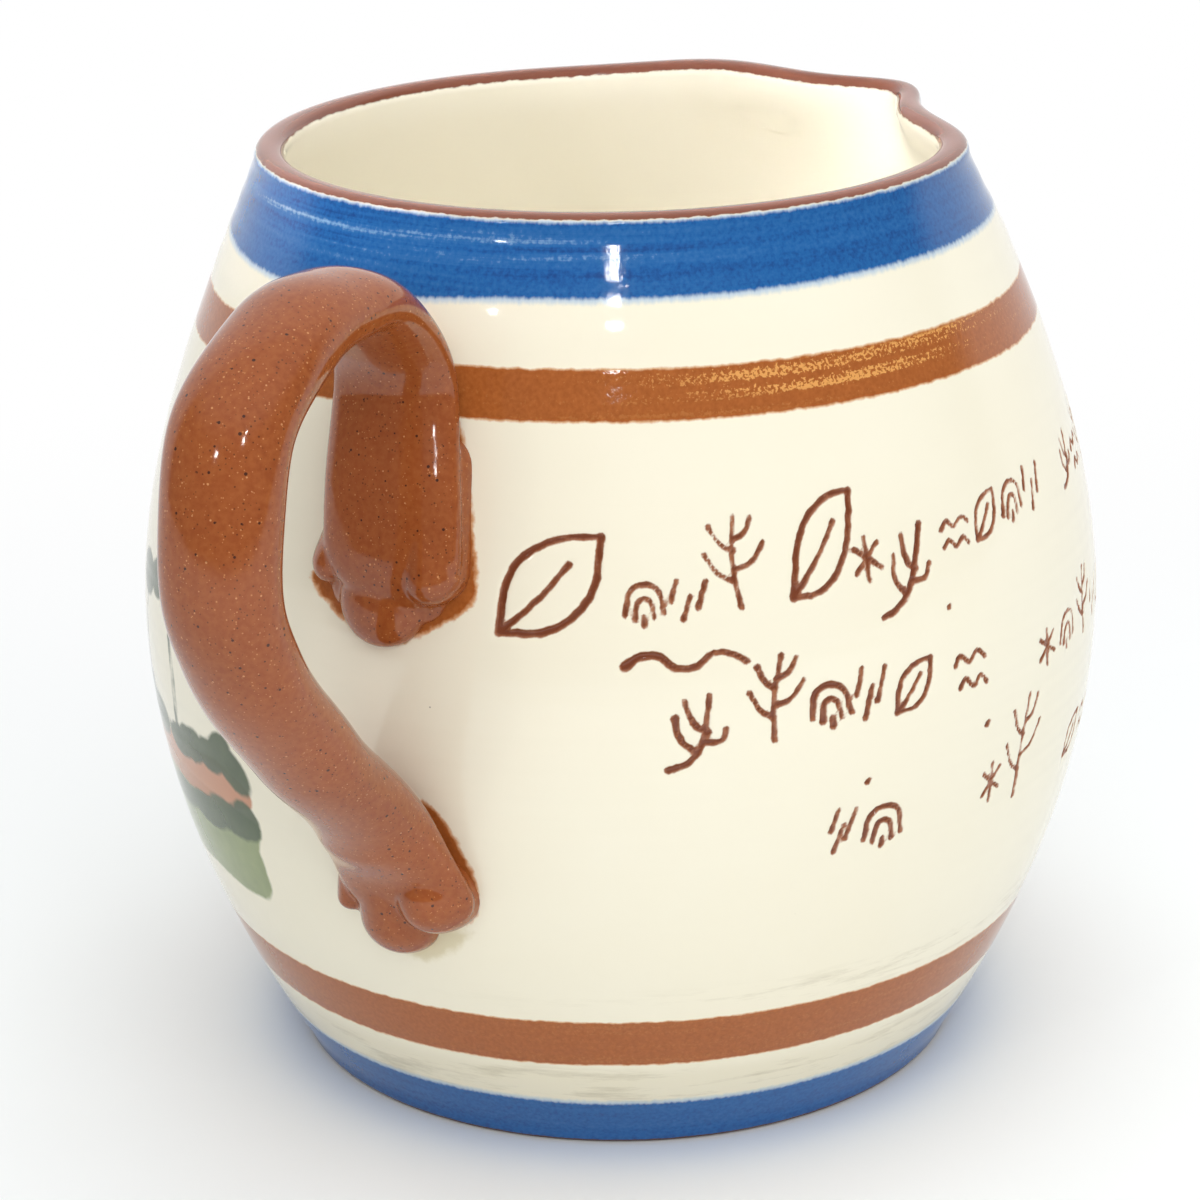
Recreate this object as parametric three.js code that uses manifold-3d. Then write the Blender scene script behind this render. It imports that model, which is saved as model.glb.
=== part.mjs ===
// A milk jug of glazed red earthenware. The body is thrown: a barrel with a flat foot, an open
// mouth and a spout pinched into the rim. The handle is a pulled strap, pressed on with the
// fingers at both ends. Body and handle are fired together, so the jug is one solid.
// Millimetres, +Z up. The origin is the centre of the flat underside, and the handle is on -X.
import * as THREE from "three";
import { mergeVertices } from "three/addons/utils/BufferGeometryUtils.js";
import Module from "manifold-3d";

const wasm = await Module();
wasm.setup();

// Body
const jugHeight = 105; // from the underside to the crest of the rim
const rimRadius = 39; // outside, at the crest
const bellyRadius = 54.6; // outside, at the widest
const bellyHeight = 52;
const footRadius = 38.2; // outside, at the underside
const shoulderFullness = 0.56; // 0 leaves the belly as a parabola, more keeps the wall out longer
const footFullness = 0.1;
const wall = 3.4;
const floorThickness = 5.5;
const floorFillet = 12; // inside, where the wall meets the floor
const footBevel = 1.1; // wiped edge round the underside

// Spout, and the hand-made wave of the rim
const spoutTurn = THREE.MathUtils.degToRad(-28.5); // from +X about +Z
const spoutReach = 4.1; // how far the lip is drawn out
const spoutHalfAngle = THREE.MathUtils.degToRad(6.6);
const pinchDepth = 2.1; // how far each side of the lip is pressed in
const pinchTurn = THREE.MathUtils.degToRad(23); // from the lip to each pinch
const pinchHalfAngle = THREE.MathUtils.degToRad(11);
const spoutDepth = 17; // the height of wall that the pinching moves
const rimLift = 1.3; // the rim stands this much higher beside the spout
const rimLiftTurn = THREE.MathUtils.degToRad(29);
const rimLiftHalfAngle = THREE.MathUtils.degToRad(13);

// Handle
const handleDepth = 31.1; // from the belly to the middle of the strap, at its furthest
const handleReach = bellyRadius + handleDepth;
const handleCrown = 0.9605 * jugHeight; // height of the middle of the strap, at its highest
const handleOffset = 0.9; // the loop stands this far to +Y of its ends
const handleLean = 2.1; // and this far where the strap leaves the wall
const upperEndHeight = 0.638 * jugHeight; // where the strap's upper end stops on the wall
const liftOffHeight = 0.857 * jugHeight; // where the strap leaves the wall
const landingHeight = 0.358 * jugHeight; // where the strap comes back to the wall
const lowerEndHeight = 0.295 * jugHeight; // where the strap's lower end stops on the wall
const strapWidth = 12.5; // across, on the outer run
const strapThickness = 8.9;
const pressedWidth = 15.4; // across, where it is pressed on the wall
const upperPressedRun = 30; // length of strap over which it is pressed wider
const lowerPressedRun = 15;
const pressedThickness = 5.8;
const upperThinning = 60; // length of strap, from its upper end, over which it is thinner
const lowerThinning = 16;
const strapLift = 2.4; // from the wall's face to the middle of the pressed strap
const endRounding = 6; // length over which an end of the strap rounds off
// The loop between lift-off and landing: shares of the way out to the reach, and of the way up
// from the landing to the crown.
const handleLoop = [
  [0.265, 0.985],
  [0.45, 1.0],
  [0.635, 0.985],
  [0.912, 0.884],
  [1.0, 0.655],
  [0.926, 0.527],
  [0.635, 0.318],
  [0.317, 0.132],
];

// Each end is pressed down into three lobes of clay. A lobe runs on the wall from its root to its
// tip, each given as [place on Y, height above the strap's end]. All are shares of pressedWidth.
const upperLobes = [
  { root: [-0.17, 1.1], tip: [-0.28, 0.04], halfWidth: 0.22, height: 0.31 },
  { root: [0.1, 0.84], tip: [0.13, -0.29], halfWidth: 0.34, height: 0.22 },
  { root: [0.3, 0.84], tip: [0.58, 0.09], halfWidth: 0.16, height: 0.22 },
];
const lowerLobes = [
  { root: [-0.14, 0.58], tip: [-0.3, 0.02], halfWidth: 0.27, height: 0.39 },
  { root: [0.1, 0.58], tip: [0.13, -0.25], halfWidth: 0.29, height: 0.3 },
  { root: [0.39, 0.49], tip: [0.49, 0.04], halfWidth: 0.12, height: 0.2 },
];
const lobeDepth = 1.3; // how deep a lobe sinks into the wall

// Fineness of the surfaces
const bodyColumns = 64;
const spoutCrowding = 0.5; // 0 spaces the columns evenly, more brings them towards the spout
const wallRows = 18;
const rimRows = 5;
const filletRows = 4;
const strapSteps = 46;
const strapSides = 18;
const lobeSteps = 9;
const lobeSides = 12;

const smooth = (t) => THREE.MathUtils.smoothstep(t, 0, 1);
const bell = (x, halfWidth) => Math.exp(-((x / halfWidth) ** 2) / 2);
const turnBetween = (a, b) => Math.atan2(Math.sin(a - b), Math.cos(a - b));

// The barrel's outside radius at a height, before the spout is pinched.
function barrelRadius(z) {
  const above = z > bellyHeight;
  const span = above ? jugHeight - bellyHeight : bellyHeight;
  const share = Math.abs(z - bellyHeight) / span;
  const fullness = above ? shoulderFullness : footFullness;
  const drop = bellyRadius - (above ? rimRadius : footRadius);
  return bellyRadius - drop * share * share * (1 + fullness * (1 - share));
}

// How far the hand moves the wall out of the round, at an angle and a height.
function handPush(angle, z) {
  const turn = Math.abs(turnBetween(angle, spoutTurn));
  const fade = smooth((z - jugHeight + spoutDepth) / spoutDepth);
  const lip = spoutReach * bell(turn, spoutHalfAngle);
  const pinch = pinchDepth * bell(turn - pinchTurn, pinchHalfAngle);
  return fade * fade * (lip - pinch);
}

// How far the rim's wave lifts the wall, at an angle and a height.
function waveLift(angle, z) {
  const turn = turnBetween(angle, spoutTurn) - rimLiftTurn;
  return rimLift * bell(turn, rimLiftHalfAngle) * smooth((z - jugHeight + spoutDepth) / spoutDepth);
}

// The body's section from the middle of the underside, up the outside, over the rim and down the
// inside to the middle of the floor, as [radius, height].
function bodySection() {
  const half = wall / 2;
  const crestBase = jugHeight - half; // the rim is rounded above this
  const section = [[0, 0], [footRadius * 0.55, 0], [footRadius - footBevel, 0]];
  for (let i = 0; i <= wallRows; i++) {
    const z = footBevel + ((crestBase - footBevel) * i) / wallRows;
    section.push([barrelRadius(z), z]);
  }
  const middle = barrelRadius(crestBase) - half;
  for (let i = 1; i < rimRows; i++) {
    const turn = (Math.PI * i) / rimRows;
    section.push([middle + half * Math.cos(turn), crestBase + half * Math.sin(turn)]);
  }
  const filletTop = floorThickness + floorFillet;
  for (let i = 0; i <= wallRows; i++) {
    const z = crestBase + ((filletTop - crestBase) * i) / wallRows;
    section.push([barrelRadius(z) - wall, z]);
  }
  for (let i = 1; i <= filletRows; i++) {
    const turn = (Math.PI / 2) * (i / filletRows);
    const z = filletTop - floorFillet * Math.sin(turn);
    section.push([barrelRadius(z) - wall - floorFillet * (1 - Math.cos(turn)), z]);
  }
  section.push([footRadius * 0.4, floorThickness], [0, floorThickness]);
  return section;
}

// A closed solid from rings of points, with a single point at each end.
function solidFromRings(first, rings, last) {
  const sides = rings[0].length;
  const positions = [first, ...rings.flat(), last].flatMap((p) => [p.x, p.y, p.z]);
  const index = [];
  const at = (ring, side) => 1 + ring * sides + (side % sides);
  const end = 1 + rings.length * sides;
  for (let side = 0; side < sides; side++) {
    index.push(0, at(0, side + 1), at(0, side));
    for (let ring = 0; ring + 1 < rings.length; ring++) {
      const [a, b] = [at(ring, side), at(ring, side + 1)];
      const [c, d] = [at(ring + 1, side), at(ring + 1, side + 1)];
      index.push(a, b, d, a, d, c);
    }
    index.push(end, at(rings.length - 1, side), at(rings.length - 1, side + 1));
  }
  const mesh = { numProp: 3, vertProperties: new Float32Array(positions) };
  return new wasm.Manifold(new wasm.Mesh({ ...mesh, triVerts: new Uint32Array(index) }));
}

// The columns' angles: close together at the spout and wide apart opposite it.
function columnAngles() {
  return Array.from({ length: bodyColumns }, (_, i) => {
    const turn = (2 * Math.PI * i) / bodyColumns;
    return spoutTurn + turn - spoutCrowding * Math.sin(turn);
  });
}

// A section turned about Z, then pressed out of the round.
function turned(section) {
  const angles = columnAngles();
  const ring = ([radius, z]) =>
    angles.map((angle) => {
      const r = radius + handPush(angle, z);
      return new THREE.Vector3(r * Math.cos(angle), r * Math.sin(angle), z + waveLift(angle, z));
    });
  const pole = ([, z]) => new THREE.Vector3(0, 0, z);
  return solidFromRings(pole(section[0]), section.slice(1, -1).map(ring), pole(section.at(-1)));
}

// The barrel's core, out to the middle of its wall. It trims the handle's buried side.
function barrelCore() {
  const section = [[0, floorThickness]];
  for (let i = 0; i <= wallRows; i++) {
    const z = floorThickness + ((jugHeight - floorThickness) * i) / wallRows;
    section.push([barrelRadius(z) - wall / 2, z]);
  }
  section.push([0, jugHeight]);
  return turned(section);
}

// A point beside the handle, at a place on Y and a height, this far out from the wall's face.
function onWall(y, z, out) {
  return new THREE.Vector3(-Math.sqrt((barrelRadius(z) + out) ** 2 - y * y), y, z);
}

// The middle line of the strap, from its upper end, over the crown, to its lower end.
function handlePath() {
  const upper = [
    onWall(0, upperEndHeight, 0.6 * strapLift),
    onWall(handleLean / 2, (upperEndHeight + liftOffHeight) / 2, strapLift),
    onWall(handleLean, liftOffHeight, 1.33 * strapLift),
  ];
  const start = barrelRadius(liftOffHeight) + strapLift;
  const loop = handleLoop.map(([out, up]) => {
    const x = -start - (handleReach - start) * out;
    return new THREE.Vector3(x, handleOffset, landingHeight + (handleCrown - landingHeight) * up);
  });
  const lower = [
    onWall(0, landingHeight, 0.75 * strapLift),
    onWall(-handleOffset, lowerEndHeight, 0.25 * strapLift),
  ];
  return new THREE.CatmullRomCurve3([...upper, ...loop, ...lower], false, "centripetal");
}

// The strap: an oval section carried along the path, flatter and wider where it is pressed on.
function strapSolid() {
  const path = handlePath();
  const length = path.getLength();
  const across = new THREE.Vector3(0, 1, 0);
  const rings = [];
  for (let step = 1; step < strapSteps; step++) {
    const share = step / strapSteps;
    const centre = path.getPointAt(share);
    const away = new THREE.Vector3().crossVectors(path.getTangentAt(share), across).normalize();
    const toEnd = length * Math.min(share, 1 - share);
    const upper = share < 0.5;
    const spread = smooth(1.3 - toEnd / (upper ? upperPressedRun : lowerPressedRun));
    const thin = smooth(2 - (2 * toEnd) / (upper ? upperThinning : lowerThinning));
    const into = Math.max(1 - toEnd / endRounding, 0);
    const size = Math.sqrt(1 - into * into);
    const halfWidth = (size * THREE.MathUtils.lerp(strapWidth, pressedWidth, spread)) / 2;
    const halfThickness = (size * THREE.MathUtils.lerp(strapThickness, pressedThickness, thin)) / 2;
    const ring = Array.from({ length: strapSides }, (_, side) => {
      const turn = (2 * Math.PI * side) / strapSides;
      return centre
        .clone()
        .addScaledVector(across, halfWidth * Math.cos(turn))
        .addScaledVector(away, halfThickness * Math.sin(turn));
    });
    rings.push(ring);
  }
  return solidFromRings(path.getPointAt(0), rings, path.getPointAt(1));
}

// A lobe of clay pressed on the wall beside an end of the strap: domed across, and rounded off at
// its root and its tip.
function lobeSolid(lobe, endHeight) {
  const placed = ([across, up]) => new THREE.Vector2(across * pressedWidth, endHeight + up * pressedWidth);
  const rootPoint = placed(lobe.root);
  const tipPoint = placed(lobe.tip);
  const halfWidth = lobe.halfWidth * pressedWidth;
  const height = lobe.height * pressedWidth;
  const run = tipPoint.distanceTo(rootPoint);
  const side = tipPoint.clone().sub(rootPoint).normalize().rotateAround(new THREE.Vector2(), Math.PI / 2);
  const rings = [];
  for (let step = 1; step < lobeSteps; step++) {
    const share = (1 - Math.cos((Math.PI * step) / lobeSteps)) / 2;
    const middle = rootPoint.clone().lerp(tipPoint, share);
    const into = Math.max(1 - (run * Math.min(share, 1 - share)) / halfWidth, 0);
    const size = Math.sqrt(1 - into * into);
    const ring = Array.from({ length: lobeSides }, (_, i) => {
      const turn = (-2 * Math.PI * i) / lobeSides;
      const place = middle.clone().addScaledVector(side, halfWidth * size * Math.cos(turn));
      const rise = Math.sin(turn) > 0 ? height * size * Math.sin(turn) : lobeDepth * Math.sin(turn);
      return onWall(place.x, place.y, rise);
    });
    rings.push(ring);
  }
  return solidFromRings(onWall(...rootPoint, 0), rings, onWall(...tipPoint, 0));
}

function meshFrom(solid, name, material) {
  const { vertProperties, triVerts } = solid.getMesh();
  const raw = new THREE.BufferGeometry();
  raw.setAttribute("position", new THREE.BufferAttribute(vertProperties, 3));
  raw.setIndex(new THREE.BufferAttribute(triVerts, 1));
  const geometry = mergeVertices(raw, 1e-4);
  geometry.computeVertexNormals();
  const mesh = new THREE.Mesh(geometry, material);
  mesh.name = name;
  return mesh;
}

const glazedEarthenware = new THREE.MeshStandardMaterial({
  color: "#f1ecd6",
  roughness: 0.18,
  metalness: 0,
});

const lobes = [
  ...upperLobes.map((lobe) => lobeSolid(lobe, upperEndHeight)),
  ...lowerLobes.map((lobe) => lobeSolid(lobe, lowerEndHeight)),
];
const handle = lobes.reduce((whole, lobe) => whole.add(lobe), strapSolid()).subtract(barrelCore());
const jug = new THREE.Group();
jug.add(meshFrom(turned(bodySection()).add(handle), "jug", glazedEarthenware));

export default jug;
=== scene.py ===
"""The looks of a milk jug of slip-decorated, clear-glazed red earthenware.

The jug is two surfaces: the thrown body with its spout, and the pulled handle with its pressed
ends. Both stand for the one solid node "jug". Metres in the scene, millimetres in the shapes.
"""

import math

import bpy
import numpy as np
from mathutils import Matrix, Vector


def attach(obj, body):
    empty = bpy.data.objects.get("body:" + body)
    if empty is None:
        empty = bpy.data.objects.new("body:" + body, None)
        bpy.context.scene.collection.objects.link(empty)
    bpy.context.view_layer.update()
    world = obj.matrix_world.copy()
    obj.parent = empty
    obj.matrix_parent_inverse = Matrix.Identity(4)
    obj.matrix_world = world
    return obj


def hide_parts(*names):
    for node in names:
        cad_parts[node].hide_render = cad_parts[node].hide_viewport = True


MM = 0.001

# Body, in millimetres
JUG_HEIGHT = 105.0
RIM_RADIUS = 39.0
BELLY_RADIUS = 54.6
BELLY_HEIGHT = 52.0
FOOT_RADIUS = 38.2
SHOULDER_FULLNESS = 0.56
FOOT_FULLNESS = 0.1
WALL = 3.4
FLOOR_THICKNESS = 5.5
FLOOR_FILLET = 12.0
FOOT_BEVEL = 1.1
FOOT_HOLLOW = 0.35  # the wiped underside dips this much in its middle
RIM_SQUARENESS = 0.72  # 1 rounds the rim to a half circle, less makes it squarer

# Spout, and the hand-made wave of the rim
SPOUT_TURN = math.radians(-28.5)
SPOUT_REACH = 4.1
SPOUT_HALF_ANGLE = math.radians(6.6)
PINCH_DEPTH = 2.1
PINCH_TURN = math.radians(23)
PINCH_HALF_ANGLE = math.radians(11)
SPOUT_DEPTH = 17.0
RIM_LIFT = 1.3
RIM_LIFT_TURN = math.radians(29)
RIM_LIFT_HALF_ANGLE = math.radians(13)

# Throwing rings on the outside: depth in mm, and turn of the wave per mm of height in radians
FINE_RINGS = (0.008, 2.1)
FINEST_RINGS = (0.006, 3.7)
NECK_RINGS = (0.05, 1.9)
SHOULDER_RINGS = (0.04, 0.55)
NECK_RINGS_START = 88.0
SHOULDER_RINGS_START = 74.0

# Handle
HANDLE_DEPTH = 31.1
HANDLE_REACH = BELLY_RADIUS + HANDLE_DEPTH
HANDLE_CROWN = 0.9605 * JUG_HEIGHT
HANDLE_OFFSET = 0.9  # the loop stands this far along Y
HANDLE_LEAN = 2.1  # and this far where it leaves the wall
UPPER_END_HEIGHT = 0.638 * JUG_HEIGHT
LIFT_OFF_HEIGHT = 0.857 * JUG_HEIGHT
LANDING_HEIGHT = 0.358 * JUG_HEIGHT
LOWER_END_HEIGHT = 0.295 * JUG_HEIGHT
STRAP_WIDTH = 12.5
STRAP_THICKNESS = 8.9
PRESSED_WIDTH = 15.4
UPPER_PRESSED_RUN = 30.0
LOWER_PRESSED_RUN = 15.0
PRESSED_THICKNESS = 5.8
UPPER_THINNING = 60.0
LOWER_THINNING = 16.0
STRAP_LIFT = 2.4
END_ROUNDING = 6.0
# The loop's points, as shares of the way out from the wall and of the way up to the crown
HANDLE_LOOP = (
    (0.265, 0.985),
    (0.45, 1.0),
    (0.635, 0.985),
    (0.912, 0.884),
    (1.0, 0.655),
    (0.926, 0.527),
    (0.635, 0.318),
    (0.317, 0.132),
)
# Lobes of clay pressed on the wall, in shares of the pressed width: root and tip as (place on Y,
# height above the strap's end), half width, height. The last two of the upper are thin aprons.
UPPER_LOBES = (
    ((-0.17, 1.1), (-0.28, 0.04), 0.22, 0.31),
    ((0.1, 0.84), (0.13, -0.29), 0.34, 0.22),
    ((0.3, 0.84), (0.58, 0.09), 0.16, 0.22),
    ((0.32, 0.46), (0.36, -0.1), 0.21, 0.1),
    ((-0.06, 0.33), (-0.2, -0.1), 0.2, 0.07),
)
LOWER_LOBES = (
    ((-0.14, 0.58), (-0.3, 0.02), 0.27, 0.39),
    ((0.1, 0.58), (0.13, -0.25), 0.29, 0.3),
    ((0.39, 0.49), (0.49, 0.04), 0.12, 0.2),
)
LOBE_DEPTH = 1.3

# Fineness of the surfaces
BODY_COLUMNS = 440
CLOSE_ROWS_FROM = 26.0
CLOSEST_ROWS = (38.0, 78.5)  # over the marks and the painting
MARKED_MIDDLE = math.radians(-115)
PAINTED_MIDDLE = math.radians(103)
FINE_HALF_ANGLE = math.radians(58)  # columns stand closer over the marks and the painting
STRAP_STEPS = 300
STRAP_SIDES = 64
SKIN_VOXEL = 0.29

# Decoration: heights of the bands' edges, in mm, and turns about Z of what lies on one side
FOOT_BLUE_TOP = 6.5
LOWER_BROWN = (13.0, 19.3)
UPPER_BROWN = (85.6, 90.4)
RIM_BLUE = 97.3
BLUE_STOP = 1.75  # the rim's blue stops this far outside the crest, along the section
RIM_HALF_WIDTH = 1.75  # half the bare clay over the crest
BARE_FOOT = 0.45  # no slip or glaze below this height
BLUE_SAG = 1.7  # the rim's blue hangs this much lower by the handle
SAG_TURN = math.radians(150)
SAG_HALF_ANGLE = math.radians(48)
STREAK_TURN = math.radians(172)
STREAK_HEIGHT = 101.6
WORN_TURN = math.radians(-120)
WORN_HEIGHT = 86.8
GRIME_TURN = math.radians(-112)
GRIME_HEIGHT = 21.6
# Stretches of the wall that hold all of the marks, of the painting and of the smears
FRONT_END = math.radians(-55)
FRONT_HEIGHTS = (30.0, 84.0)
PAINTED_END = math.radians(35)
PAINTED_HEIGHTS = (20.0, 75.0)
SMEARED_HALF_ANGLE = 0.4
MARK_DEPTH = 0.24
STROKE_SHARE = 0.78  # the share of the half width in its row that a stroke is cut to
CHART_RADIUS = 52.5  # turns about Z become lengths along the wall at this radius
FAR = 6.0  # a distance that is well outside every painted or scratched area

# Colours, as sRGB. Where a finish has more, its noise runs from the first to the last.
CREAM = ("#F2EDDA", "#EFE8D1")
# Painted light: the inside's cream is paler than the outside's, to brighten the inside of the mouth.
INSIDE_CREAM_PAINTED_LIGHT = "#FCF7E8"
# The even tone darkens the wall towards the foot all round; the smears are grime.
LOW_TONE_AND_GRIME = ("#E2DABF", "#B8AE93")  # its even tone, and its smears
COBALT = ("#1B4482", "#205E9D", "#2F67A3", "#88AACA")
THIN_COBALT = "#A4BFD6"
CLAY = ("#8C4A20", "#B46832")
STRAP_CLAY = ("#84421F", "#9C5229", "#B06A38")
RIM_CLAY = "#7E4A38"
FOOT_CLAY = "#5A3426"
CLAY_SMEAR = "#C98238"
THIN_CLAY = "#CC8A45"
WIPED_CLAY = "#E0A25A"
SCRATCHED_CLAY = ("#9C5A34", "#6E341C")  # the edge of a stroke, and its middle
RIM_LINE = "#D9D2C0"
BUSH_GREEN = ("#35452E", "#53623F")
GRASS_GREEN = ("#66793F", "#8A9960")
STEM_GREEN = "#5F695A"
PATH_BROWN = "#BE7B55"
OLIVE = "#C4B684"
IRON = "#5B4A3C"
# The first paper tone is a painted shade of the dim room far in front of the picture; the second is the white
# paper under the jug.
PAPER_AND_PAINTED_SHADE = ("#77797A", "#F2F5F6")  # far in front of the picture, and under the jug

# Specks in the strap: cells to a metre, greatest radius as a share of a cell, colour, strength,
# and a shift that sets each kind apart
STRAP_SPECKS = (
    (1000.0, 0.19, "#35201A", 0.9, 0.0),
    (2300.0, 0.26, "#4A2A1A", 0.7, 5.0),
    (1300.0, 0.17, "#D79A66", 0.65, 3.0),
    (2600.0, 0.25, "#CF8E58", 0.6, 8.0),
)
GLAZE_IOR = 1.46

# Studio
AWAY = (0.906, 0.423, 0.0)  # level, from the camera towards the backdrop
ROOM_LIGHT = 0.2
CEILING_LIGHT = 0.7
JUG_MIDDLE = 0.06
MOUTH_HEIGHT = 0.104
BACKDROP_START = (0.18, 0.42)  # the backdrop sets in where a ray's share along AWAY is this
PAPER_END = (-0.02, 0.26)  # metres away from the jug over which the paper fades into it
# In front, the paper's colour darkens to a painted shade of the dim room.
ROOM_END = (-0.64, -0.26)  # and those in front over which it fades into the dim room
# Lamps: name, turn from +X and elevation in degrees, distance and size in metres, power in
# watts. The mouth's lamps also have the spread of their beam in degrees.
SOFT_LAMPS = (
    ("soft_front", -137.0, 31.0, 0.9, 0.9, 3.25),
    ("soft_right", -114.0, 8.0, 1.0, 0.8, 1.2),
    ("soft_top", -150.0, 80.0, 1.2, 1.0, 4.4),
    ("soft_left", 178.0, 30.0, 1.0, 0.8, 0.6),
)
MOUTH_LAMPS = (
    ("mouth_left", 145.0, 38.0, 0.5, 0.03, 0.011, 8.0),
    ("mouth_back", 60.0, 46.0, 0.5, 0.03, 0.012, 7.0),
)
GLINT_LAMPS = (
    ("lens_lamp", -155.5, 32.5, 1.0, 0.05, 0.34),
    ("upper_lamp", -153.0, 37.0, 1.0, 0.035, 0.2),
    ("side_lamp", 169.0, 26.0, 1.0, 0.04, 0.3),
)
CAMERA_PLACE = (-0.35262, -0.16443, 0.18879)
CAMERA_AIM = (-0.01214, -0.00312, 0.05442)
CAMERA_ROLL = math.radians(-1.09)
CAMERA_LENS = 106.82


def smooth(t):
    """Rises from 0 to 1 as t does: 3t^2 - 2t^3, held flat outside."""
    t = np.clip(t, 0.0, 1.0)
    return t * t * (3.0 - 2.0 * t)


def bell(x, half_width):
    """The Gaussian exp(-(x / half_width)^2 / 2)."""
    return np.exp(-((x / half_width) ** 2) / 2.0)


def turn_between(a, b):
    """The angle from b to a, between -pi and pi."""
    return np.arctan2(np.sin(a - b), np.cos(a - b))


def barrel_radius(z):
    """The widest radius less a drop that grows with the square of the share of the way from the
    widest height to the rim or the foot, filled out by 1 + fullness (1 - share)."""
    above = z > BELLY_HEIGHT
    share = np.abs(z - BELLY_HEIGHT) / np.where(above, JUG_HEIGHT - BELLY_HEIGHT, BELLY_HEIGHT)
    fullness = np.where(above, SHOULDER_FULLNESS, FOOT_FULLNESS)
    drop = BELLY_RADIUS - np.where(above, RIM_RADIUS, FOOT_RADIUS)
    return BELLY_RADIUS - drop * share**2 * (1.0 + fullness * (1.0 - share))


def hand_push(angle, z):
    """A Gaussian lip at the spout, less a Gaussian pinch each side of it, both fading down the
    wall."""
    turn = np.abs(turn_between(angle, SPOUT_TURN))
    fade = smooth((z - JUG_HEIGHT + SPOUT_DEPTH) / SPOUT_DEPTH) ** 2
    lip = SPOUT_REACH * bell(turn, SPOUT_HALF_ANGLE)
    pinch = PINCH_DEPTH * bell(turn - PINCH_TURN, PINCH_HALF_ANGLE)
    return fade * (lip - pinch)


def wave_lift(angle, z):
    """A Gaussian rise of the rim beside the spout, fading down the wall."""
    turn = turn_between(angle, SPOUT_TURN) - RIM_LIFT_TURN
    return RIM_LIFT * bell(turn, RIM_LIFT_HALF_ANGLE) * smooth((z - JUG_HEIGHT + SPOUT_DEPTH) / SPOUT_DEPTH)


def throwing_lines(angle, z):
    """Faint rings left by the fingers: four sines of height, depth * sin(wave * z + phase), whose
    phase drifts with the angle. The two deepest set in on the shoulder."""
    fine = FINE_RINGS[0] * np.sin(FINE_RINGS[1] * z + 0.7 * np.sin(angle))
    finest = FINEST_RINGS[0] * np.sin(FINEST_RINGS[1] * z + 1.3 + np.cos(angle))
    neck = NECK_RINGS[0] * smooth((z - NECK_RINGS_START) / 6.0)
    neck = neck * np.sin(NECK_RINGS[1] * z + 1.5 * np.sin(angle))
    shoulder = SHOULDER_RINGS[0] * smooth((z - SHOULDER_RINGS_START) / 10.0)
    shoulder = shoulder * np.sin(SHOULDER_RINGS[1] * z + np.sin(angle + 0.6))
    return fine + finest + neck + shoulder


# The body's grid


def column_angles():
    """Angles round the jug, closest over the marks and close over the painting and the spout: the
    inverse of the running sum of the wanted density, read at even steps."""
    fine = np.radians(np.arange(-180.0, 180.0, 0.05))
    marks = smooth((FINE_HALF_ANGLE - np.abs(turn_between(fine, MARKED_MIDDLE))) / np.radians(4))
    painting = smooth((FINE_HALF_ANGLE - np.abs(turn_between(fine, PAINTED_MIDDLE))) / np.radians(6))
    spout = bell(turn_between(fine, SPOUT_TURN), np.radians(16))
    density = 1.0 + 5.6 * marks + 1.2 * painting + 0.8 * spout
    total = np.concatenate([[0.0], np.cumsum(density)])
    return np.interp(np.arange(BODY_COLUMNS) / BODY_COLUMNS * total[-1], total[:-1], fine)


def body_section():
    """The section from the middle of the underside round to the middle of the inside floor, as
    radius, height, and length along it from the crest of the rim: outside below 0, inside above."""
    half = WALL / 2
    crest_base = JUG_HEIGHT - half
    under = np.linspace(0.12, 1.0, 6) * (FOOT_RADIUS - FOOT_BEVEL)
    under_z = FOOT_HOLLOW * smooth((1.0 - under / (FOOT_RADIUS - FOOT_BEVEL)) * 5.0)
    bevel = np.linspace(0.0, np.pi / 2, 6)[1:-1]
    foot_r = barrel_radius(np.array(FOOT_BEVEL)) - FOOT_BEVEL * (1 - np.sin(bevel))
    foot_z = FOOT_BEVEL * (1 - np.cos(bevel))
    wall_z = np.concatenate(
        [
            np.linspace(FOOT_BEVEL, CLOSE_ROWS_FROM, 14)[:-1],
            np.linspace(CLOSE_ROWS_FROM, CLOSEST_ROWS[0], 13)[:-1],
            np.linspace(*CLOSEST_ROWS, 122)[:-1],
            np.linspace(CLOSEST_ROWS[1], crest_base, 21),
        ]
    )
    turn = np.linspace(0.0, np.pi, 13)[1:-1]
    rim_r = np.sign(np.cos(turn)) * np.abs(np.cos(turn)) ** RIM_SQUARENESS
    rim_z = np.sin(turn) ** RIM_SQUARENESS
    middle = barrel_radius(np.array(crest_base)) - half
    inner_z = np.linspace(crest_base, FLOOR_THICKNESS + FLOOR_FILLET, 22)
    fillet = np.linspace(0.0, np.pi / 2, 7)[1:]
    fillet_z = FLOOR_THICKNESS + FLOOR_FILLET * (1 - np.sin(fillet))
    fillet_r = barrel_radius(fillet_z) - WALL - FLOOR_FILLET * (1 - np.cos(fillet))
    floor_r = fillet_r[-1] * np.linspace(1.0, 0.1, 5)[1:]
    radius = np.concatenate(
        [under, foot_r, barrel_radius(wall_z), middle + half * rim_r, barrel_radius(inner_z) - WALL]
        + [fillet_r, floor_r]
    )
    height = np.concatenate(
        [under_z, foot_z, wall_z, crest_base + half * rim_z, inner_z, fillet_z]
        + [np.full(len(floor_r), FLOOR_THICKNESS)]
    )
    length = np.concatenate([[0.0], np.cumsum(np.hypot(np.diff(radius), np.diff(height)))])
    crest = len(under) + len(foot_r) + len(wall_z) + len(turn) // 2
    return radius, height, length - length[crest]


# The scratched marks

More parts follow.
